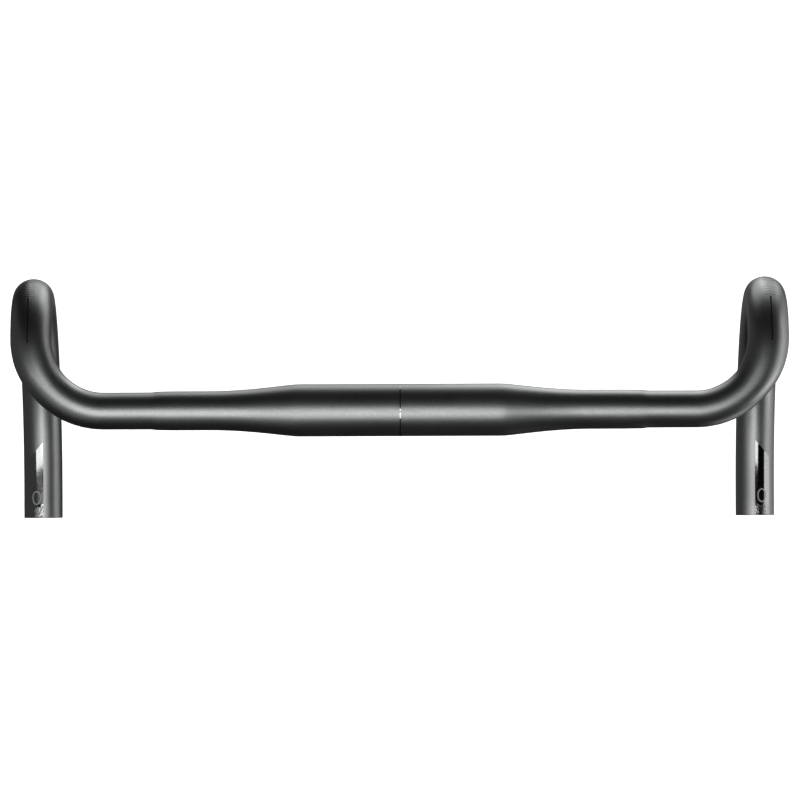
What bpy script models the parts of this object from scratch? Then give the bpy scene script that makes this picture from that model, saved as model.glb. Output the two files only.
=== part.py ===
"""Compact road drop handlebar, 440 mm between its bar ends, bare.

One alloy tube: a 31.8 mm stem clamp zone in the middle, swaged down to 23.8 mm
tops, bent forwards round both shoulders and down through the hooks to level
drop ends. It carries thin printed films: a ring at its middle, a lever scale
on each hook, and a patch with an oval ring on each drop end.

Units are metres. +X is the rider's right, +Y forwards, +Z up, and the origin
is the middle of the stem clamp, on the tube's axis. Everything is worked out
for the right half and mirrored to the left.
"""
import math

import bmesh
import bpy
from mathutils import Vector

# Tube sizes
CLAMP_RADIUS = 0.0159
TUBE_RADIUS = 0.0119
CLAMP_HALF_WIDTH = 0.062
TAPER_END = 0.116
TAPER_HASTE = 0.68
END_CHAMFER = 0.0003

# The route from above
SHOULDER_START = 0.1793
SHOULDER_RADIUS = 0.0443
REACH = 0.0694
TOE_IN = 0.0037
TOE_IN_END = 0.452

# The route from the side: relative curvature against share of the hook's arc
DROP = 0.120
END_BEHIND_CLAMP = 0.0660
HOOK_CURVE = ((0.0, 0.0), (0.1, 1.0), (0.3, 1.0), (0.42, 0.62), (0.6, 0.5), (1.0, 0.0))
HOOK_STEPS = 600

# Where the section changes, as distances along the tube from its middle
SHOULDER_END = SHOULDER_START + SHOULDER_RADIUS * math.pi / 2
FRONT_RUN = SHOULDER_END + REACH - SHOULDER_RADIUS
WIDE = (
    (0.1445, 0.0),
    (0.1515, -0.00065),
    (SHOULDER_START, -0.00065),
    (0.212, -0.0004),
    (0.238, 0.00065),
    (0.264, 0.0007),
    (0.300, 0.0003),
    (0.400, 0.0),
)
TALL = (
    (0.160, 0.0),
    (0.198, 0.0004),
    (0.238, -0.0005),
    (0.275, -0.0006),
    (0.400, 0.0),
)
WALL = (
    (CLAMP_HALF_WIDTH, 0.0020),
    (TAPER_END, 0.0014),
    (0.165, 0.0014),
    (0.190, 0.0017),
    (0.400, 0.0017),
    (0.440, 0.0015),
)

# How finely the tube is drawn
ROUND_STEPS = 24
SAMPLE = 0.001
OUTER_BOW = 0.00006
BORE_BOW = 0.00018
SWELL_STEP = 0.0006
LONGEST_STEP = 0.034
RING_ANCHORS = (CLAMP_HALF_WIDTH, TAPER_END, WIDE[0][0], WIDE[1][0])

# Printed films
FILM_LIFT = 0.00010
FILM_THICKNESS = 0.00012
CENTRE_MARK_WIDTH = 0.0007
CENTRE_MARK_STEPS = 48
SCALE_START = 0.2435
SCALE_LINE_WIDTH = 0.0008
SCALE_OUTBOARD = math.radians(8.0)
SCALE_LINE_STEPS = 8
TICK_COUNT = 8
TICK_PITCH = 0.0022
TICK_FIRST = 0.2710
TICK_WIDTH = 0.0005
TICK_INBOARD = math.radians(14.0)
TICK_MIDDLE = math.radians(5.0)
TICK_OUTBOARD = math.radians(20.0)
PATCH_INNER = math.radians(-1.5)
PATCH_OUTER = math.radians(45.0)
PATCH_FRONT_INNER = 0.048
PATCH_FRONT_OUTER = 0.0365
PATCH_REAR = 0.0006
PATCH_ROWS = 6
PATCH_COLUMNS = 10
RING_FROM_END = 0.0125
RING_OUTBOARD = math.radians(19.0)
RING_HALF_LENGTH = 0.0044
RING_HALF_WIDTH = 0.0029
RING_BAND = 0.0009
RING_STEPS = 32
RING_LIFT = 0.00032
RING_THICKNESS = 0.00010


def ease(share):
    """Smooth 0 to 1 with level ends."""
    share = min(max(share, 0.0), 1.0)
    return share * share * (3.0 - 2.0 * share)


def eased(distance, stations):
    """A size at a distance along the tube, easing from each station to the next."""
    if distance <= stations[0][0]:
        return stations[0][1]
    for (start, first), (stop, last) in zip(stations, stations[1:]):
        if distance <= stop:
            return first + (last - first) * ease((distance - start) / (stop - start))
    return stations[-1][1]


def curve_at(share):
    """Relative curvature of the hook at a share of its arc."""
    for (start, first), (stop, last) in zip(HOOK_CURVE, HOOK_CURVE[1:]):
        if share <= stop:
            return first + (last - first) * (share - start) / (stop - start)
    return HOOK_CURVE[-1][1]


def hook_profile():
    """The hook from the side: rows of (arc, run, fall), level at both ends, DROP deep."""
    shares = [(step + 0.5) / HOOK_STEPS for step in range(HOOK_STEPS)]
    whole_turn = sum(curve_at(share) for share in shares)
    rows = [(0.0, 0.0, 0.0)]
    pitch = 0.0
    for share in shares:
        turn = math.pi * curve_at(share) / whole_turn
        middle = pitch + turn / 2
        arc, run, fall = rows[-1]
        rows.append((arc + 1.0, run + math.cos(middle), fall + math.sin(middle)))
        pitch += turn
    scale = DROP / rows[-1][2]
    return [(arc * scale, run * scale, fall * scale) for arc, run, fall in rows]


HOOK = hook_profile()
HOOK_ARC = HOOK[-1][0]
FRONT_ARC, HOOK_FRONT_RUN = max(HOOK, key=lambda row: row[1])[:2]
HOOK_START = FRONT_RUN - HOOK_FRONT_RUN
FRONT = HOOK_START + FRONT_ARC
LEVEL_START = HOOK_START + HOOK_ARC
END = LEVEL_START + END_BEHIND_CLAMP + REACH - HOOK_FRONT_RUN + HOOK[-1][1]


def hook_at(arc):
    """Run and fall at an arc length into the hook."""
    place = min(max(arc / HOOK_ARC, 0.0), 1.0) * HOOK_STEPS
    index = min(int(place), HOOK_STEPS - 1)
    before, after = HOOK[index], HOOK[index + 1]
    share = place - index
    run = before[1] + (after[1] - before[1]) * share
    fall = before[2] + (after[2] - before[2]) * share
    return run, fall


def plan_at(run):
    """Point and heading of the route from above, a run out from the middle."""
    if run <= SHOULDER_START:
        return run, 0.0, 0.0
    if run >= SHOULDER_END:
        ramp = run - SHOULDER_END
        return SHOULDER_START + SHOULDER_RADIUS, SHOULDER_RADIUS + ramp, math.pi / 2
    heading = (run - SHOULDER_START) / SHOULDER_RADIUS
    x = SHOULDER_START + SHOULDER_RADIUS * math.sin(heading)
    y = SHOULDER_RADIUS * (1.0 - math.cos(heading))
    return x, y, heading


def centre_at(distance):
    """Centre of the tube at a distance along it from the middle."""
    run, fall = hook_at(distance - HOOK_START)
    run += min(distance, HOOK_START)
    if distance <= FRONT:
        x, y, _ = plan_at(run)
    else:
        run -= max(distance - LEVEL_START, 0.0)
        x = SHOULDER_START + SHOULDER_RADIUS
        y = REACH - (FRONT_RUN - run)
    toe = TOE_IN * ease((distance - SHOULDER_END) / (TOE_IN_END - SHOULDER_END))
    return Vector((x - toe, y, -fall))


def heading_at(distance):
    """Heading of the route from above; it stays forwards past the front of the hook."""
    if distance > FRONT:
        return math.pi / 2
    run = hook_at(distance - HOOK_START)[0] + min(distance, HOOK_START)
    return plan_at(run)[2]


def frame_at(distance):
    """Centre, and unit vectors to the outside of the hook and to the outboard side."""
    centre = centre_at(distance)
    along = (centre_at(distance + SAMPLE) - centre_at(max(distance - SAMPLE, 0.0))).normalized()
    heading = heading_at(distance)
    inboard = Vector((-math.sin(heading), math.cos(heading), 0.0))
    inboard = (inboard - along * inboard.dot(along)).normalized()
    outward = along.cross(inboard)
    return centre, outward, -inboard


def radii_at(distance):
    """Half sizes of the tube's oval section, outward and outboard."""
    taper = (distance - CLAMP_HALF_WIDTH) / (TAPER_END - CLAMP_HALF_WIDTH)
    swaged = ease(max(taper, 0.0) ** TAPER_HASTE)
    radius = CLAMP_RADIUS + (TUBE_RADIUS - CLAMP_RADIUS) * swaged
    return radius + eased(distance, TALL), radius + eased(distance, WIDE)


def surface_point(distance, angle, lift):
    """A point lifted off the tube's outside, at an angle from outward towards outboard."""
    centre, outward, outboard = frame_at(distance)
    tall, wide = radii_at(distance)
    across = outboard * (wide + lift) * math.sin(angle)
    return centre + outward * (tall + lift) * math.cos(angle) + across


def ring(distance, lift):
    """One ring of points round the tube."""
    angles = [2 * math.pi * step / ROUND_STEPS for step in range(ROUND_STEPS)]
    return [surface_point(distance, angle, lift) for angle in angles]


def ring_distances(bow):
    """Distances for rings, so that no straight run bows off the curve by more than bow."""
    last = END - END_CHAMFER
    chosen = [0.0]
    turned = swelled = 0.0
    sample = 0.0
    way = Vector((1.0, 0.0, 0.0))
    sizes = radii_at(0.0)
    while sample + SAMPLE < last:
        sample += SAMPLE
        new_way = (centre_at(sample + SAMPLE) - centre_at(sample)).normalized()
        new_sizes = radii_at(sample)
        turned += new_way.angle(way)
        swelled += abs(new_sizes[0] - sizes[0]) + abs(new_sizes[1] - sizes[1])
        way, sizes = new_way, new_sizes
        gap = sample - chosen[-1]
        bowed = gap * turned / 8 >= bow
        anchored = any(abs(sample - anchor) < SAMPLE / 2 for anchor in RING_ANCHORS)
        if bowed or swelled >= SWELL_STEP or gap >= LONGEST_STEP or anchored:
            chosen.append(sample)
            turned = swelled = 0.0
    if last - chosen[-1] < SAMPLE * 2:
        chosen.pop()
    return chosen + [last]


def mirrored(points):
    """The same points on the left half."""
    return [Vector((-point.x, point.y, point.z)) for point in points]


def bend_tube():
    """Rings down the outside, round the right end, back up the bore and round the left end."""
    outside = [ring(distance, 0.0) for distance in ring_distances(OUTER_BOW)]
    bore = [ring(distance, -eased(distance, WALL)) for distance in ring_distances(BORE_BOW)]
    wall = eased(END, WALL)
    outer_lip = ring(END, -END_CHAMFER)
    bore_lip = ring(END, END_CHAMFER - wall)
    right = outside[1:] + [outer_lip, bore_lip] + bore[:0:-1]
    left = [mirrored(points) for points in reversed(right)]
    return [outside[0]] + right + [bore[0]] + left


def tube_mesh(name):
    """The hollow tube as one closed band of rings."""
    loop = bend_tube()
    bm = bmesh.new()
    rows = [[bm.verts.new(point) for point in points] for points in loop]
    for row, following in zip(rows, rows[1:] + rows[:1]):
        for step in range(ROUND_STEPS):
            after = (step + 1) % ROUND_STEPS
            bm.faces.new((row[step], row[after], following[after], following[step]))
    return finish_mesh(name, bm)


def finish_mesh(name, bm):
    """Turn the faces outwards, smooth the round ones and link the object."""
    bmesh.ops.recalc_face_normals(bm, faces=bm.faces)
    mesh = bpy.data.meshes.new(name)
    bm.to_mesh(mesh)
    bm.free()
    mesh.shade_smooth()
    mesh.set_sharp_from_angle(angle=math.radians(35.0))
    piece = bpy.data.objects.new(name, mesh)
    bpy.context.scene.collection.objects.link(piece)
    return piece


def film(name, places, faces, side, lift=FILM_LIFT, thickness=FILM_THICKNESS):
    """A thin closed film over the tube; places are (distance, angle), side is 1 or -1."""
    bm = bmesh.new()
    skins = []
    for height in (lift, lift + thickness):
        points = [surface_point(distance, angle, height) for distance, angle in places]
        skins.append([bm.verts.new((point.x * side, point.y, point.z)) for point in points])
    under, over = skins
    edge_uses = {}
    for face in faces:
        bm.faces.new([under[corner] for corner in reversed(face)])
        bm.faces.new([over[corner] for corner in face])
        for start, stop in zip(face, face[1:] + face[:1]):
            edge = (min(start, stop), max(start, stop))
            edge_uses.setdefault(edge, []).append((start, stop))
    for uses in edge_uses.values():
        if len(uses) == 1:
            start, stop = uses[0]
            bm.faces.new((under[start], under[stop], over[stop], over[start]))
    return finish_mesh(name, bm)


def grid_faces(rows, columns):
    """Quads of a sheet whose places run row by row."""
    faces = []
    for row in range(rows):
        for column in range(columns):
            first = row * (columns + 1) + column
            below = first + columns + 1
            faces.append((first, first + 1, below + 1, below))
    return faces


def centre_mark():
    """The thin line printed all the way round the middle of the clamp."""
    half = CENTRE_MARK_WIDTH / 2
    bm = bmesh.new()
    loop = []
    for x, lift in (
        (-half, FILM_LIFT),
        (half, FILM_LIFT),
        (half, FILM_LIFT + FILM_THICKNESS),
        (-half, FILM_LIFT + FILM_THICKNESS),
    ):
        radius = CLAMP_RADIUS + lift
        angles = [2 * math.pi * step / CENTRE_MARK_STEPS for step in range(CENTRE_MARK_STEPS)]
        loop.append([bm.verts.new((x, radius * math.sin(a), radius * math.cos(a))) for a in angles])
    for row, following in zip(loop, loop[1:] + loop[:1]):
        for step in range(CENTRE_MARK_STEPS):
            after = (step + 1) % CENTRE_MARK_STEPS
            bm.faces.new((row[step], row[after], following[after], following[step]))
    return finish_mesh("centre_mark", bm)


def lever_scale(name, side):
    """A line over the ramp and the hook's front with ticks across it, for lining up a lever."""
    ticks = [TICK_FIRST + TICK_PITCH * number for number in range(TICK_COUNT)]
    line_half = SCALE_LINE_WIDTH / 2 / TUBE_RADIUS
    angles = (
        -TICK_INBOARD,
        -TICK_MIDDLE,
        SCALE_OUTBOARD - line_half,
        SCALE_OUTBOARD + line_half,
        TICK_OUTBOARD,
    )
    line_column = 2
    run_up = (ticks[0] - SCALE_START) / SCALE_LINE_STEPS
    distances = [SCALE_START + run_up * step for step in range(SCALE_LINE_STEPS)]
    tick_rows = []
    for tick in ticks:
        tick_rows.append(len(distances))
        distances += [tick - TICK_WIDTH / 2, tick + TICK_WIDTH / 2]
    places = [(distance, angle) for distance in distances for angle in angles]
    columns = len(angles) - 1
    faces = []
    for index, face in enumerate(grid_faces(len(distances) - 1, columns)):
        row, column = divmod(index, columns)
        if row in tick_rows or column == line_column:
            faces.append(face)
    used = sorted({corner for face in faces for corner in face})
    renumber = {corner: number for number, corner in enumerate(used)}
    faces = [tuple(renumber[corner] for corner in face) for face in faces]
    return film(name, [places[corner] for corner in used], faces, side)


def drop_decal(name, side):
    """The slant-fronted patch on the upper outboard side of a drop end."""
    places = []
    for row in range(PATCH_ROWS + 1):
        for column in range(PATCH_COLUMNS + 1):
            across = column / PATCH_COLUMNS
            front = PATCH_FRONT_INNER + (PATCH_FRONT_OUTER - PATCH_FRONT_INNER) * across
            behind = front + (PATCH_REAR - front) * row / PATCH_ROWS
            outboard = PATCH_INNER + (PATCH_OUTER - PATCH_INNER) * across
            places.append((END - behind, math.pi - outboard))
    return film(name, places, grid_faces(PATCH_ROWS, PATCH_COLUMNS), side)


def decal_ring(name, side):
    """A plain oval ring printed over the patch near the bar end."""
    places = []
    for shrink in (0.0, RING_BAND):
        for step in range(RING_STEPS):
            turn = 2 * math.pi * step / RING_STEPS
            behind = RING_FROM_END + (RING_HALF_LENGTH - shrink) * math.cos(turn)
            across = (RING_HALF_WIDTH - shrink) * math.sin(turn)
            places.append((END - behind, math.pi - RING_OUTBOARD - across / TUBE_RADIUS))
    faces = []
    for step in range(RING_STEPS):
        after = (step + 1) % RING_STEPS
        faces.append((step, after, RING_STEPS + after, RING_STEPS + step))
    return film(name, places, faces, side, RING_LIFT, RING_THICKNESS)


def finish(name, colour, metallic, roughness):
    """A plain Principled finish."""
    material = bpy.data.materials.new(name)
    material.use_nodes = True
    shader = material.node_tree.nodes["Principled BSDF"]
    shader.inputs["Base Color"].default_value = (*colour, 1.0)
    shader.inputs["Metallic"].default_value = metallic
    shader.inputs["Roughness"].default_value = roughness
    return material


def blasted_alloy():
    """Sand-blasted and anodised dark grey aluminium."""
    return finish("blasted_alloy", (0.168, 0.170, 0.169), 1.0, 0.4)


def gloss_black(name):
    """Gloss black print."""
    return finish(name, (0.006, 0.006, 0.006), 0.0, 0.12)


def satin_grey(name):
    """Satin grey print."""
    return finish(name, (0.22, 0.22, 0.22), 0.0, 0.35)


def build():
    for old in list(bpy.data.objects):
        bpy.data.objects.remove(old, do_unlink=True)
    tube_mesh("handlebar_tube").data.materials.append(blasted_alloy())
    centre_mark().data.materials.append(gloss_black("centre_mark_print"))
    for label, side in (("left", -1), ("right", 1)):
        scale = lever_scale(label + "_lever_scale", side)
        scale.data.materials.append(gloss_black(label + "_scale_print"))
        patch = drop_decal(label + "_drop_decal", side)
        patch.data.materials.append(gloss_black(label + "_patch_print"))
        oval = decal_ring(label + "_decal_ring", side)
        oval.data.materials.append(satin_grey(label + "_ring_print"))


build()
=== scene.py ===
import math

import bpy
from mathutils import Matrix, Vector


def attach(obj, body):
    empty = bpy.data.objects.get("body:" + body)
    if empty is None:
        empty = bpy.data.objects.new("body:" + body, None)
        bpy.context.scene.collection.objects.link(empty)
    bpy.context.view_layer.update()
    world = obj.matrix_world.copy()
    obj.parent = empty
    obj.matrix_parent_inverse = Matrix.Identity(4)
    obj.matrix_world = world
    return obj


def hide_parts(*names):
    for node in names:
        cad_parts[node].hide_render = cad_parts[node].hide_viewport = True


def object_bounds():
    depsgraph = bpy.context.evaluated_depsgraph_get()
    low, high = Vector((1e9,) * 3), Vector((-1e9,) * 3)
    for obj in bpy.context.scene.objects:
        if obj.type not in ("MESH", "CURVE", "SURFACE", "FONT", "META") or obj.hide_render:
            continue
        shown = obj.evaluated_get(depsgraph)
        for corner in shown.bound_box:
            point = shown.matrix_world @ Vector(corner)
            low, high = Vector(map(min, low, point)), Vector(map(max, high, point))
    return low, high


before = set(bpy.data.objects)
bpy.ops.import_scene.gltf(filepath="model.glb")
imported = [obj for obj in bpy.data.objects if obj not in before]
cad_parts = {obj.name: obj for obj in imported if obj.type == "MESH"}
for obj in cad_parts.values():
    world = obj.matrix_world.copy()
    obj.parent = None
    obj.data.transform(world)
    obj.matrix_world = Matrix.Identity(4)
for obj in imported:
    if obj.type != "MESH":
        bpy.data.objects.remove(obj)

CAD_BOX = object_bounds()

# Units are metres. +X is the rider's right, +Y forwards, and the origin is the middle of the clamp
# zone. The tube's route and sections are those of the CAD part, worked out for the right half.

# Tube sizes
CLAMP_RADIUS = 0.0159
TUBE_RADIUS = 0.0119
CLAMP_HALF_WIDTH = 0.062
TAPER_END = 0.116
TAPER_HASTE = 0.68

# The route from above
SHOULDER_START = 0.1793
SHOULDER_RADIUS = 0.0443
REACH = 0.0694
TOE_IN = 0.0037
TOE_IN_END = 0.452

# The route from the side: relative curvature against share of the hook's arc
DROP = 0.120
END_BEHIND_CLAMP = 0.0660
HOOK_CURVE = ((0.0, 0.0), (0.1, 1.0), (0.3, 1.0), (0.42, 0.62), (0.6, 0.5), (1.0, 0.0))
HOOK_STEPS = 600

# Where the section changes, as distances along the tube from its middle: how much wider and taller
# each half size is than the plain tube's, and how thick the wall is
SHOULDER_END = SHOULDER_START + SHOULDER_RADIUS * math.pi / 2
FRONT_RUN = SHOULDER_END + REACH - SHOULDER_RADIUS
WIDE = (
    (0.1445, 0.0),
    (0.1515, -0.00065),
    (SHOULDER_START, -0.00065),
    (0.212, -0.0004),
    (0.238, 0.00065),
    (0.264, 0.0007),
    (0.300, 0.0003),
    (0.400, 0.0),
)
TALL = (
    (0.160, 0.0),
    (0.198, 0.0004),
    (0.238, -0.0005),
    (0.275, -0.0006),
    (0.400, 0.0),
)
WALL = (
    (CLAMP_HALF_WIDTH, 0.0020),
    (TAPER_END, 0.0014),
    (0.165, 0.0014),
    (0.190, 0.0017),
    (0.400, 0.0017),
    (0.440, 0.0015),
)

# How finely the visible tube is drawn
ROUND_STEPS = 96
SAMPLE = 0.0005
SKIN_BOW = 0.000008
BORE_BOW = 0.00003
SWELL_STEP = 0.00008
LONGEST_STEP = 0.012
SKIN_INSET = 0.00001
LIP_ROUND = 0.00035
LIP_STEPS = 4
SHARP_ANGLE = math.radians(40.0)

# Every print is a closed film, held off the tube by its lift
PRINT_LIFT = 0.00003
PRINT_THICKNESS = 0.00003

# Centre mark, round the middle of the clamp zone
MARK_HALF_WIDTH = 0.0003
MARK_STEPS = 192

# Lever scales. Distances run along the tube from its middle, angles from the hook's outer side
# towards outboard
SCALE_START = 0.2435
SCALE_END = 0.2695
SCALE_OUTBOARD = math.radians(8.0)
SCALE_HALF_WIDTH = 0.00035
SCALE_ROWS = 30
TICK_FIRST = 0.2710
TICK_PITCH = 0.0022
TICK_COUNT = 8
TICK_HALF_WIDTH = 0.00011
TICK_INBOARD = math.radians(-10.0)
TICK_OUTBOARD = math.radians(23.0)
TICK_COLUMNS = 16

# Drop patches. Distances run forward from the bar end, angles from the top towards outboard
PATCH_INNER = math.radians(-1.5)
PATCH_OUTER = math.radians(45.0)
PATCH_FRONT_INNER = 0.048
PATCH_FRONT_OUTER = 0.0365
PATCH_REAR = 0.0007
PATCH_ROWS = 40
PATCH_COLUMNS = 24
SCUFF_LENGTH = 0.0085
SCUFF_FULL_LENGTH = 0.7 * SCUFF_LENGTH

# Oval rings on the patches
OVAL_LIFT = PRINT_LIFT + 1.5 * PRINT_THICKNESS
OVAL_FROM_END = 0.0125
OVAL_OUTBOARD = math.radians(19.0)
OVAL_HALF_LENGTH = 0.0044
OVAL_HALF_WIDTH = 0.0029
OVAL_BAND = 0.0009
OVAL_STEPS = 96

# Floor
FLOOR_HALF_WIDTH = 12.0
FLOOR_GAP = 0.0002

# Light. The world adds a faint even fill. The lowest lights stand below the floor and shine through
# it, because it casts no shadow
WORLD_FILL = 0.01
# Overhead panels, facing down, as (left, right, rear, front, watts)
PANEL_HEIGHT = 1.0
PANELS = (
    (-1.15, 0.55, -0.34, -0.145, 4.5),
    (-0.40, 0.20, -0.06, 0.10, 2.2),
)
# An upright light beside the left end, like a reflector, as (x, width, bottom, top, watts)
REFLECTOR = (-1.0, 1.4, -1.0, 1.2, 1.5)
# Square softboxes round the middle, as (elevation, azimuth, watts), with azimuth from +X to +Y
FAR_REACH = 2.5
FAR_SIZE = 1.0
FAR_LIGHTS = (
    (66, 255, 17.0),  # the key light, high behind the bar
    (-30, 305, 5.5),  # low, behind the right end
    (-5, 330, 12.0),  # about level with the bar, to its right
    (-5, 30, 5.0),
)
# Smaller ones facing an end, as (side, elevation, azimuth, watts); side is -1 for the left end
NEAR_REACH = 0.8
NEAR_SIZE = 0.6
NEAR_AIM = Vector((0.22, 0.02, -0.03))
NEAR_LIGHTS = (
    (-1, -35, 75, 2.2),  # low in front of each hook
    (1, -35, 75, 2.2),
    (-1, -8, 0, 1.0),  # to the right of the bar
    (1, 8, 0, 1.8),
    (1, 35, 210, 0.5),  # above and behind the left end
    (1, -60, 180, 0.2),  # far below, facing the inside of the right hook
)

# Camera, looking down from above the clamp
CAMERA_HEIGHT = 5.777
CAMERA_AHEAD = 0.0062
VIEW_WIDTH = 0.4846
SENSOR = 36.0
LEAN = math.radians(0.35)
ROLL = math.radians(0.22)


def ease(share):
    """Smooth step from 0 to 1."""
    share = min(max(share, 0.0), 1.0)
    return share * share * (3.0 - 2.0 * share)


def eased(distance, stations):
    """Value at a distance, eased between (distance, value) stations."""
    if distance <= stations[0][0]:
        return stations[0][1]
    for (start, first), (stop, last) in zip(stations, stations[1:]):
        if distance <= stop:
            return first + (last - first) * ease((distance - start) / (stop - start))
    return stations[-1][1]


def curve_at(share):
    """Relative tightness of the hook's bend at a share of its length."""
    for (start, first), (stop, last) in zip(HOOK_CURVE, HOOK_CURVE[1:]):
        if share <= stop:
            return first + (last - first) * (share - start) / (stop - start)
    return HOOK_CURVE[-1][1]


def hook_profile():
    """The hook from the side, a half turn, as (arc, run, fall) rows scaled to the drop."""
    shares = [(step + 0.5) / HOOK_STEPS for step in range(HOOK_STEPS)]
    whole_turn = sum(curve_at(share) for share in shares)
    rows = [(0.0, 0.0, 0.0)]
    pitch = 0.0
    for share in shares:
        turn = math.pi * curve_at(share) / whole_turn
        middle = pitch + turn / 2
        arc, run, fall = rows[-1]
        rows.append((arc + 1.0, run + math.cos(middle), fall + math.sin(middle)))
        pitch += turn
    scale = DROP / rows[-1][2]
    return [(arc * scale, run * scale, fall * scale) for arc, run, fall in rows]


HOOK = hook_profile()
HOOK_ARC = HOOK[-1][0]
FRONT_ARC, HOOK_FRONT_RUN = max(HOOK, key=lambda row: row[1])[:2]
HOOK_START = FRONT_RUN - HOOK_FRONT_RUN
FRONT = HOOK_START + FRONT_ARC
LEVEL_START = HOOK_START + HOOK_ARC
END = LEVEL_START + END_BEHIND_CLAMP + REACH - HOOK_FRONT_RUN + HOOK[-1][1]


def hook_at(arc):
    """Run and fall at an arc length into the hook."""
    place = min(max(arc / HOOK_ARC, 0.0), 1.0) * HOOK_STEPS
    index = min(int(place), HOOK_STEPS - 1)
    before, after = HOOK[index], HOOK[index + 1]
    share = place - index
    run = before[1] + (after[1] - before[1]) * share
    fall = before[2] + (after[2] - before[2]) * share
    return run, fall


def plan_at(run):
    """Plan x, y and heading of the upper route at a level run from the middle."""
    if run <= SHOULDER_START:
        return run, 0.0, 0.0
    if run >= SHOULDER_END:
        ramp = run - SHOULDER_END
        return SHOULDER_START + SHOULDER_RADIUS, SHOULDER_RADIUS + ramp, math.pi / 2
    heading = (run - SHOULDER_START) / SHOULDER_RADIUS
    x = SHOULDER_START + SHOULDER_RADIUS * math.sin(heading)
    y = SHOULDER_RADIUS * (1.0 - math.cos(heading))
    return x, y, heading


def centre_at(distance):
    """Point on the tube's centreline at a distance along it from the middle."""
    run, fall = hook_at(distance - HOOK_START)
    run += min(distance, HOOK_START)
    if distance <= FRONT:
        x, y, _ = plan_at(run)
    else:
        run -= max(distance - LEVEL_START, 0.0)
        x = SHOULDER_START + SHOULDER_RADIUS
        y = REACH - (FRONT_RUN - run)
    toe = TOE_IN * ease((distance - SHOULDER_END) / (TOE_IN_END - SHOULDER_END))
    return Vector((x - toe, y, -fall))


def heading_at(distance):
    """Plan heading of the tube, from +X towards +Y."""
    if distance > FRONT:
        return math.pi / 2
    run = hook_at(distance - HOOK_START)[0] + min(distance, HOOK_START)
    return plan_at(run)[2]


def radii_at(distance):
    """Half height and half width of the section."""
    taper = (distance - CLAMP_HALF_WIDTH) / (TAPER_END - CLAMP_HALF_WIDTH)
    swaged = ease(max(taper, 0.0) ** TAPER_HASTE)
    radius = CLAMP_RADIUS + (TUBE_RADIUS - CLAMP_RADIUS) * swaged
    return radius + eased(distance, TALL), radius + eased(distance, WIDE)


FRAMES = {}


def frame_at(distance):
    """Centre, unit vectors to the hook's outer side and outboard, and half sizes, kept for reuse."""
    if distance not in FRAMES:
        centre = centre_at(distance)
        ahead = centre_at(distance + SAMPLE)
        along = (ahead - centre_at(max(distance - SAMPLE, 0.0))).normalized()
        heading = heading_at(distance)
        inboard = Vector((-math.sin(heading), math.cos(heading), 0.0))
        inboard = (inboard - along * inboard.dot(along)).normalized()
        FRAMES[distance] = (centre, along.cross(inboard), -inboard, *radii_at(distance))
    return FRAMES[distance]


def surface_point(distance, angle, lift):
    """A point off the tube's surface, at an angle from the hook's outer side towards outboard."""
    centre, outward, outboard, tall, wide = frame_at(distance)
    up = outward * ((tall + lift) * math.cos(angle))
    return centre + up + outboard * ((wide + lift) * math.sin(angle))


def ring_points(distance, lift):
    """One ring of points round the tube."""
    turns = [2 * math.pi * step / ROUND_STEPS for step in range(ROUND_STEPS)]
    return [surface_point(distance, turn, lift) for turn in turns]


def ring_distances(bow, last):
    """Distances for rings, so that no straight run bows off the curve by more than bow."""
    chosen = [0.0]
    turned = swelled = 0.0
    sample = 0.0
    way = Vector((1.0, 0.0, 0.0))
    sizes = radii_at(0.0)
    while sample + SAMPLE < last:
        sample += SAMPLE
        new_way = (centre_at(sample + SAMPLE) - centre_at(sample)).normalized()
        new_sizes = radii_at(sample)
        turned += new_way.angle(way)
        swelled += abs(new_sizes[0] - sizes[0]) + abs(new_sizes[1] - sizes[1])
        way, sizes = new_way, new_sizes
        gap = sample - chosen[-1]
        if gap * turned / 8 >= bow or swelled >= SWELL_STEP or gap >= LONGEST_STEP:
            chosen.append(sample)
            turned = swelled = 0.0
    if last - chosen[-1] < SAMPLE * 2:
        chosen.pop()
    return chosen + [last]


def spread(first, last, steps):
    """Evenly spaced values from first to last, both included."""
    return [first + (last - first) * step / steps for step in range(steps + 1)]


def new_piece(name, points, faces, materials, face_slots=None):
    """A smooth shaded mesh object; face_slots gives each face's material."""
    mesh = bpy.data.meshes.new(name)
    mesh.from_pydata([tuple(point) for point in points], [], faces)
    mesh.validate()
    for material in materials:
        mesh.materials.append(material)
    if face_slots:
        mesh.polygons.foreach_set("material_index", face_slots)
    mesh.shade_smooth()
    mesh.set_sharp_from_angle(angle=SHARP_ANGLE)
    piece = bpy.data.objects.new(name, mesh)
    bpy.context.scene.collection.objects.link(piece)
    return piece


def band_faces(rows, steps):
    """Quads of a closed band, whose last ring joins its first."""
    faces = []
    for row in range(rows):
        following = (row + 1) % rows
        for step in range(steps):
            after = (step + 1) % steps
            faces.append(
                (
                    row * steps + step,
                    following * steps + step,
                    following * steps + after,
                    row * steps + after,
                )
            )
    return faces


def lip_ring(turn, lift):
    """A ring of the rounded lip; turn is 0 where the lip starts and a right angle at the bar end."""
    distance = END - LIP_ROUND + (LIP_ROUND - SKIN_INSET) * math.sin(turn)
    return ring_points(distance, lift)


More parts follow.
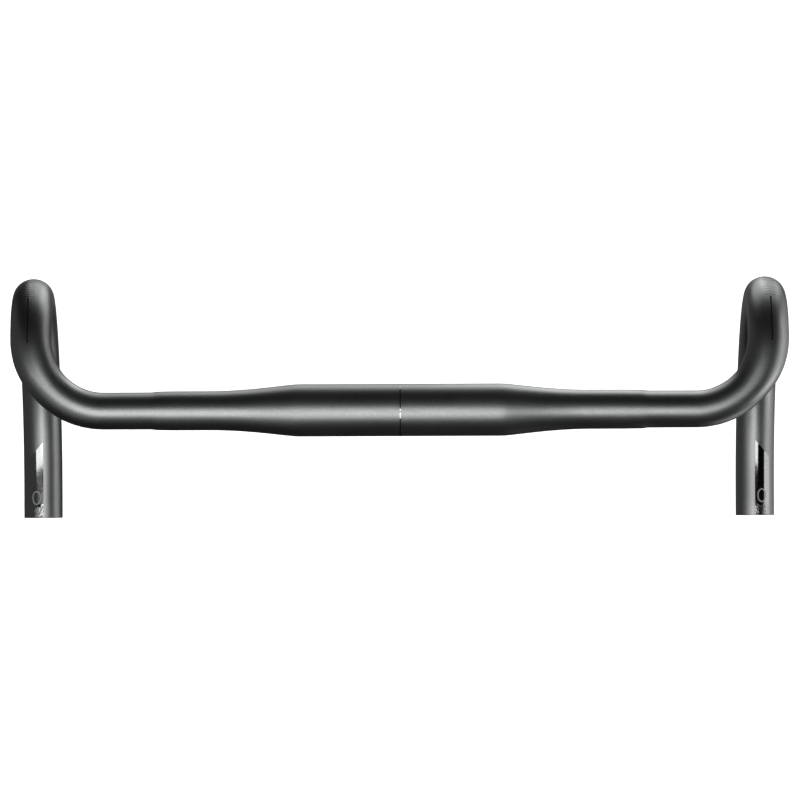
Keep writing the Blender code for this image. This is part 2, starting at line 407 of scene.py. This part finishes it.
def tube_piece(skin, bore):
    """The hollow tube with rounded lips, as one closed band of rings."""
    last = END - LIP_ROUND
    wall = eased(END, WALL)
    turns = spread(0.0, math.pi / 2, LIP_STEPS)
    right = [ring_points(distance, -SKIN_INSET) for distance in ring_distances(SKIN_BOW, last)]
    for turn in turns[1:]:
        right.append(lip_ring(turn, -SKIN_INSET - LIP_ROUND * (1 - math.cos(turn))))
    for turn in reversed(turns):
        right.append(lip_ring(turn, LIP_ROUND * (1 - math.cos(turn)) - wall))
    first_bore_row = len(right) - 1
    inner = ring_distances(BORE_BOW, last)[:-1]
    right += [ring_points(distance, -eased(distance, WALL)) for distance in reversed(inner)]
    left = [[Vector((-point.x, point.y, point.z)) for point in ring] for ring in right[1:-1]]
    loop = right + left[::-1]
    slots = []
    for row in range(len(loop)):
        mirror_row = min(row, len(loop) - 1 - row)
        slots += [1 if mirror_row >= first_bore_row else 0] * ROUND_STEPS
    points = [point for ring in loop for point in ring]
    return new_piece("tube_skin", points, band_faces(len(loop), ROUND_STEPS), (skin, bore), slots)


def print_piece(name, places, faces, side, material, lift=PRINT_LIFT):
    """A thin closed print over the tube; places are (distance, angle), side is 1 or -1."""
    points = []
    for height in (lift, lift + PRINT_THICKNESS):
        for distance, angle in places:
            point = surface_point(distance, angle, height)
            points.append(Vector((point.x * side, point.y, point.z)))
    count = len(places)
    edges = {}
    solid = []
    for face in faces:
        solid.append(tuple(reversed(face)))
        solid.append(tuple(corner + count for corner in face))
        for start, stop in zip(face, face[1:] + face[:1]):
            edges.setdefault((min(start, stop), max(start, stop)), []).append((start, stop))
    for uses in edges.values():
        if len(uses) == 1:
            start, stop = uses[0]
            solid.append((start, stop, stop + count, start + count))
    if side > 0:
        solid = [tuple(reversed(face)) for face in solid]
    return new_piece(name, points, solid, (material,))


def sheet(distances_at, angles, rows):
    """Places and quads of a sheet over the tube.

    distances_at gives the sheet's first and last distance at a share of the way through the angles.
    """
    places = []
    columns = len(angles) - 1
    for row in range(rows + 1):
        for column, angle in enumerate(angles):
            first, last = distances_at(column / columns)
            places.append((first + (last - first) * row / rows, angle))
    faces = []
    for row in range(rows):
        for column in range(columns):
            corner = row * (columns + 1) + column
            faces.append((corner, corner + 1, corner + columns + 2, corner + columns + 1))
    return places, faces


def straight(first, last):
    """Square ends for a sheet."""
    return lambda share: (first, last)


def joined(sheets):
    """Several sheets as one list of places and one of faces."""
    places, faces = [], []
    for sheet_places, sheet_faces in sheets:
        start = len(places)
        places += sheet_places
        faces += [tuple(corner + start for corner in face) for face in sheet_faces]
    return places, faces


def centre_line(material):
    """The line printed round the middle of the clamp zone."""
    top = PRINT_LIFT + PRINT_THICKNESS
    corners = (
        (-MARK_HALF_WIDTH, PRINT_LIFT),
        (-MARK_HALF_WIDTH, top),
        (MARK_HALF_WIDTH, top),
        (MARK_HALF_WIDTH, PRINT_LIFT),
    )
    points = []
    for x, lift in corners:
        radius = CLAMP_RADIUS + lift
        for step in range(MARK_STEPS):
            turn = 2 * math.pi * step / MARK_STEPS
            points.append((x, radius * math.sin(turn), radius * math.cos(turn)))
    return new_piece("centre_line", points, band_faces(len(corners), MARK_STEPS), (material,))


def lever_scale(side, label, material):
    """The line over a ramp and the ticks across the front of its hook."""
    half_angle = SCALE_HALF_WIDTH / TUBE_RADIUS
    line_angles = [SCALE_OUTBOARD - half_angle, SCALE_OUTBOARD + half_angle]
    sheets = [sheet(straight(SCALE_START, SCALE_END), line_angles, SCALE_ROWS)]
    tick_angles = spread(TICK_INBOARD, TICK_OUTBOARD, TICK_COLUMNS)
    for number in range(TICK_COUNT):
        tick = TICK_FIRST + TICK_PITCH * number
        sheets.append(sheet(straight(tick - TICK_HALF_WIDTH, tick + TICK_HALF_WIDTH), tick_angles, 1))
    places, faces = joined(sheets)
    return print_piece(label + "_scale", places, faces, side, material)


def drop_patch(side, label, material):
    """The slant-fronted mirror patch on the upper outboard side of a drop end."""

    def ends(share):
        front = PATCH_FRONT_OUTER + (PATCH_FRONT_INNER - PATCH_FRONT_OUTER) * share
        return END - front, END - PATCH_REAR

    angles = spread(math.pi - PATCH_OUTER, math.pi - PATCH_INNER, PATCH_COLUMNS)
    places, faces = sheet(ends, angles, PATCH_ROWS)
    return print_piece(label + "_patch", places, faces, side, material)


def patch_oval(side, label, material):
    """A plain oval ring printed on the patch near the bar end."""
    places = []
    for shrink in (0.0, OVAL_BAND):
        for step in range(OVAL_STEPS):
            turn = 2 * math.pi * step / OVAL_STEPS
            behind = OVAL_FROM_END + (OVAL_HALF_LENGTH - shrink) * math.cos(turn)
            across = (OVAL_HALF_WIDTH - shrink) * math.sin(turn)
            places.append((END - behind, math.pi - OVAL_OUTBOARD - across / TUBE_RADIUS))
    faces = []
    for step in range(OVAL_STEPS):
        after = (step + 1) % OVAL_STEPS
        faces.append((step, OVAL_STEPS + step, OVAL_STEPS + after, after))
    return print_piece(label + "_oval", places, faces, side, material, OVAL_LIFT)


def link(tree, source, output, target, socket):
    """Join an output of one node to an input of another, by name or number."""
    tree.links.new(source.outputs[output], target.inputs[socket])


def noise(tree, place, scale, detail=2.0):
    """Noise fixed to the object, with scale in cells to a metre."""
    node = tree.nodes.new("ShaderNodeTexNoise")
    node.inputs["Scale"].default_value = scale
    node.inputs["Detail"].default_value = detail
    link(tree, place, "Object", node, "Vector")
    return node


def tint(tree, shader, source, dark, light, low=0.3, high=0.7):
    """Base colour that goes from dark to light as the source noise goes from low to high."""
    node = tree.nodes.new("ShaderNodeValToRGB")
    for stop, position, colour in zip(node.color_ramp.elements, (low, high), (dark, light)):
        stop.position = position
        stop.color = (*colour, 1.0)
    link(tree, source, "Fac", node, "Fac")
    link(tree, node, "Color", shader, "Base Color")


def vary_roughness(tree, shader, source, smoothest, roughest):
    """Roughness that follows the middle range of the source noise."""
    node = tree.nodes.new("ShaderNodeMapRange")
    node.inputs["From Min"].default_value = 0.3
    node.inputs["From Max"].default_value = 0.7
    node.inputs["To Min"].default_value = smoothest
    node.inputs["To Max"].default_value = roughest
    link(tree, source, "Fac", node, "Value")
    link(tree, node, "Result", shader, "Roughness")


def bump(tree, height, strength, distance, under=None):
    """A bump from the first output of a height node, over another bump if one is given."""
    node = tree.nodes.new("ShaderNodeBump")
    node.inputs["Strength"].default_value = strength
    node.inputs["Distance"].default_value = distance
    link(tree, height, 0, node, "Height")
    if under:
        link(tree, under, "Normal", node, "Normal")
    return node


def new_material(name, metallic=0.0):
    """A material with its node tree, shader and texture coordinates."""
    material = bpy.data.materials.new(name)
    material.use_nodes = True
    tree = material.node_tree
    shader = tree.nodes["Principled BSDF"]
    shader.inputs["Metallic"].default_value = metallic
    place = tree.nodes.new("ShaderNodeTexCoord")
    return material, tree, shader, place


def blasted_alloy():
    """Bead-blasted, anodised dark grey aluminium: fine grain, faint mottling."""
    material, tree, shader, place = new_material("blasted_alloy", metallic=1.0)
    grain = noise(tree, place, scale=1500.0, detail=4.0)
    mottle = noise(tree, place, scale=45.0, detail=4.0)
    fine = noise(tree, place, scale=5200.0)
    tint(tree, shader, grain, (0.138, 0.144, 0.141), (0.193, 0.200, 0.197), low=0.25, high=0.75)
    vary_roughness(tree, shader, mottle, 0.38, 0.41)
    pits = bump(tree, fine, strength=0.25, distance=0.00004)
    dimples = bump(tree, grain, strength=0.2, distance=0.00006, under=pits)
    link(tree, dimples, "Normal", shader, "Normal")
    return material


def drawn_bore():
    """The inside of the tube: anodised but not blasted, with a stained, scored surface."""
    material, tree, shader, place = new_material("drawn_bore", metallic=1.0)
    stain = noise(tree, place, scale=160.0, detail=5.0)
    rub = noise(tree, place, scale=900.0, detail=3.0)
    tint(tree, shader, stain, (0.10, 0.10, 0.10), (0.17, 0.17, 0.168), high=0.75)
    vary_roughness(tree, shader, stain, 0.38, 0.5)
    scores = bump(tree, rub, strength=0.3, distance=0.00005)
    link(tree, scores, "Normal", shader, "Normal")
    return material


def gloss_black():
    """Gloss black ink of the lever scales, with a very slight orange peel."""
    material, tree, shader, place = new_material("gloss_black")
    ink = noise(tree, place, scale=700.0)
    swell = noise(tree, place, scale=500.0, detail=1.0)
    tint(tree, shader, ink, (0.004, 0.004, 0.004), (0.007, 0.007, 0.007))
    vary_roughness(tree, shader, ink, 0.07, 0.12)
    peel = bump(tree, swell, strength=0.05, distance=0.0001)
    link(tree, peel, "Normal", shader, "Normal")
    return material


def scuffed_end(tree, place):
    """Height of the scuffs, which fade in over the last few millimetres before the bar ends."""
    apart = tree.nodes.new("ShaderNodeSeparateXYZ")
    link(tree, place, "Object", apart, "Vector")
    near_end = tree.nodes.new("ShaderNodeMapRange")
    near_end.inputs["From Min"].default_value = SCUFF_LENGTH - END_BEHIND_CLAMP
    near_end.inputs["From Max"].default_value = SCUFF_FULL_LENGTH - END_BEHIND_CLAMP
    link(tree, apart, "Y", near_end, "Value")
    scuffed = tree.nodes.new("ShaderNodeMath")
    scuffed.operation = "MULTIPLY"
    link(tree, near_end, "Result", scuffed, 0)
    link(tree, noise(tree, place, scale=850.0, detail=3.0), "Fac", scuffed, 1)
    return scuffed


def mirror_foil():
    """Dark mirror foil of the centre mark and the drop patches, scuffed near the bar ends."""
    material, tree, shader, place = new_material("mirror_foil", metallic=1.0)
    foil = noise(tree, place, scale=700.0)
    swell = noise(tree, place, scale=1400.0)
    tint(tree, shader, foil, (0.17, 0.172, 0.172), (0.20, 0.202, 0.202))
    vary_roughness(tree, shader, foil, 0.06, 0.10)
    peel = bump(tree, swell, strength=0.07, distance=0.00005)
    scuffs = bump(tree, scuffed_end(tree, place), strength=1.0, distance=0.0003, under=peel)
    link(tree, scuffs, "Normal", shader, "Normal")
    return material


def satin_grey():
    """Satin grey ink of the oval rings."""
    material, tree, shader, place = new_material("satin_grey")
    ink = noise(tree, place, scale=900.0)
    tint(tree, shader, ink, (0.17, 0.17, 0.17), (0.21, 0.21, 0.21))
    vary_roughness(tree, shader, ink, 0.3, 0.4)
    return material


def add_floor():
    """A plain white floor under the drops. It glows, so that no shadow shows on it."""
    side = FLOOR_HALF_WIDTH
    mesh = bpy.data.meshes.new("floor")
    corners = [(-side, -side, 0), (side, -side, 0), (side, side, 0), (-side, side, 0)]
    mesh.from_pydata(corners, [], [(0, 1, 2, 3)])
    floor = bpy.data.objects.new("floor", mesh)
    bpy.context.scene.collection.objects.link(floor)
    floor.location.z = CAD_BOX[0][2] - FLOOR_GAP
    material = bpy.data.materials.new("floor")
    material.use_nodes = True
    shader = material.node_tree.nodes["Principled BSDF"]
    shader.inputs["Base Color"].default_value = (0.8, 0.8, 0.8, 1.0)
    shader.inputs["Roughness"].default_value = 0.9
    shader.inputs["Emission Color"].default_value = (1.0, 1.0, 1.0, 1.0)
    shader.inputs["Emission Strength"].default_value = 1.0
    mesh.materials.append(material)
    floor.visible_glossy = False
    floor.visible_shadow = False


def add_light(name, place, back, size, watts):
    """A soft light that the camera doesn't see. It shines the opposite way from back."""
    data = bpy.data.lights.new(name, "AREA")
    data.shape = "RECTANGLE"
    data.size, data.size_y = size
    data.energy = watts
    light = bpy.data.objects.new(name, data)
    bpy.context.scene.collection.objects.link(light)
    light.location = place
    light.rotation_euler = back.to_track_quat("Z", "Y").to_euler()
    light.visible_camera = False


def direction(elevation, azimuth):
    """Unit vector for an elevation and an azimuth in degrees."""
    rise, turn = math.radians(elevation), math.radians(azimuth)
    level = math.cos(rise)
    return Vector((level * math.cos(turn), level * math.sin(turn), math.sin(rise)))


def add_lights():
    """Panels overhead, an upright light on the left, softboxes far off and smaller ones nearer."""
    for number, (left, right, rear, front, watts) in enumerate(PANELS):
        place = ((left + right) / 2, (rear + front) / 2, PANEL_HEIGHT)
        add_light(f"panel_{number}", place, direction(90, 90), (right - left, front - rear), watts)
    x, width, bottom, top, watts = REFLECTOR
    place = (x, 0.0, (bottom + top) / 2)
    add_light("reflector", place, direction(0, 180), (width, top - bottom), watts)
    for elevation, azimuth, watts in FAR_LIGHTS:
        way = direction(elevation, azimuth)
        name = f"far_{elevation}_{azimuth}"
        add_light(name, way * FAR_REACH, way, (FAR_SIZE, FAR_SIZE), watts)
    for side, elevation, azimuth, watts in NEAR_LIGHTS:
        way = direction(elevation, azimuth)
        aim = Vector((NEAR_AIM.x * side, NEAR_AIM.y, NEAR_AIM.z))
        name = f"near_{side}_{elevation}_{azimuth}"
        add_light(name, aim + way * NEAR_REACH, way, (NEAR_SIZE, NEAR_SIZE), watts)


def add_world():
    """White where the camera looks past everything, and a faint grey fill on the object."""
    world = bpy.data.worlds.new("studio")
    bpy.context.scene.world = world
    world.use_nodes = True
    tree = world.node_tree
    background = tree.nodes["Background"]
    background.inputs["Color"].default_value = (WORLD_FILL, WORLD_FILL, WORLD_FILL, 1.0)
    white = tree.nodes.new("ShaderNodeBackground")
    white.inputs["Color"].default_value = (1.0, 1.0, 1.0, 1.0)
    path = tree.nodes.new("ShaderNodeLightPath")
    mix = tree.nodes.new("ShaderNodeMixShader")
    link(tree, path, "Is Camera Ray", mix, "Fac")
    link(tree, background, "Background", mix, 1)
    link(tree, white, "Background", mix, 2)
    link(tree, mix, "Shader", tree.nodes["World Output"], "Surface")


def add_camera():
    """A long lens looking down, with a slight lean and roll."""
    data = bpy.data.cameras.new("camera")
    data.sensor_width = SENSOR
    data.lens = SENSOR * CAMERA_HEIGHT / VIEW_WIDTH
    data.clip_end = 100.0
    camera = bpy.data.objects.new("camera", data)
    bpy.context.scene.collection.objects.link(camera)
    camera.location = (-CAMERA_HEIGHT * math.tan(LEAN), CAMERA_AHEAD, CAMERA_HEIGHT)
    camera.rotation_euler = (0.0, -LEAN, -ROLL)
    bpy.context.scene.camera = camera


def build():
    """Every visible piece, each standing in for its CAD node."""
    black = gloss_black()
    foil = mirror_foil()
    grey = satin_grey()
    tube = tube_piece(blasted_alloy(), drawn_bore())
    mark = centre_line(foil)
    stand_ins = [(tube, "handlebar_tube", "bar_alloy"), (mark, "centre_mark", "gloss_print")]
    for label, side in (("left", -1), ("right", 1)):
        scale = lever_scale(side, label, black)
        stand_ins.append((scale, label + "_lever_scale", "gloss_print"))
        patch = drop_patch(side, label, foil)
        stand_ins.append((patch, label + "_drop_decal", "gloss_print"))
        oval = patch_oval(side, label, grey)
        stand_ins.append((oval, label + "_decal_ring", "ring_print"))
    for piece, node, slot in stand_ins:
        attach(piece, "root")
        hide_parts(node)


build()
add_floor()
add_world()
add_lights()
add_camera()
bpy.context.scene.view_settings.view_transform = "Standard"
